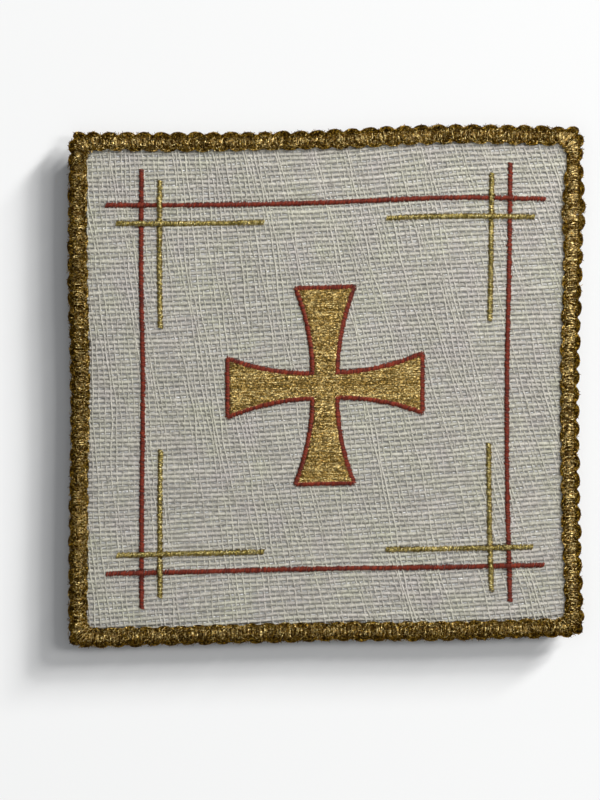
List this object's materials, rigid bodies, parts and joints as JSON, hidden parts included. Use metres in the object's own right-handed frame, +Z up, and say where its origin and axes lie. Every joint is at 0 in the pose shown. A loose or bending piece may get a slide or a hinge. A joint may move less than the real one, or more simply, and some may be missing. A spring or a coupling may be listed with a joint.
{
  "type": "chalice pall",
  "caption": "Stiff square pall of open-weave cream cloth, edged with scalloped gold braid and embroidered with a gold and red cross in a frame of crossing lines.",
  "frame": {"origin": "on the surface that the pall lies on, under the centre of its box", "axes": "+Z up from the underside through the embroidered face, +Y to the top of the face, +X to its right; the braid's join is on the +X edge"},
  "size_m": [0.1701, 0.1717, 0.0054],
  "materials": {
    "cream_cloth": "open plain weave of cream yarn over a silvery ground",
    "gold_braid": "metallic gold thread, plaited",
    "red_thread": "satin stitch in rayon thread",
    "gold_thread": "satin stitch in metallic thread"
  },
  "bodies": {
    "root": {"pall_panel": "cream_cloth", "gold_braid": "gold_braid", "cross_fill": "gold_thread", "cross_outline": "red_thread", "red_line_left": "red_thread", "red_line_right": "red_thread", "red_line_bottom": "red_thread", "red_line_top": "red_thread", "gold_line_lower_left_upright": "gold_thread", "gold_line_lower_right_upright": "gold_thread", "gold_line_upper_left_upright": "gold_thread", "gold_line_upper_right_upright": "gold_thread", "gold_line_lower_left_level": "gold_thread", "gold_line_lower_right_level": "gold_thread", "gold_line_upper_left_level": "gold_thread", "gold_line_upper_right_level": "gold_thread"}
  },
  "joints": []
}
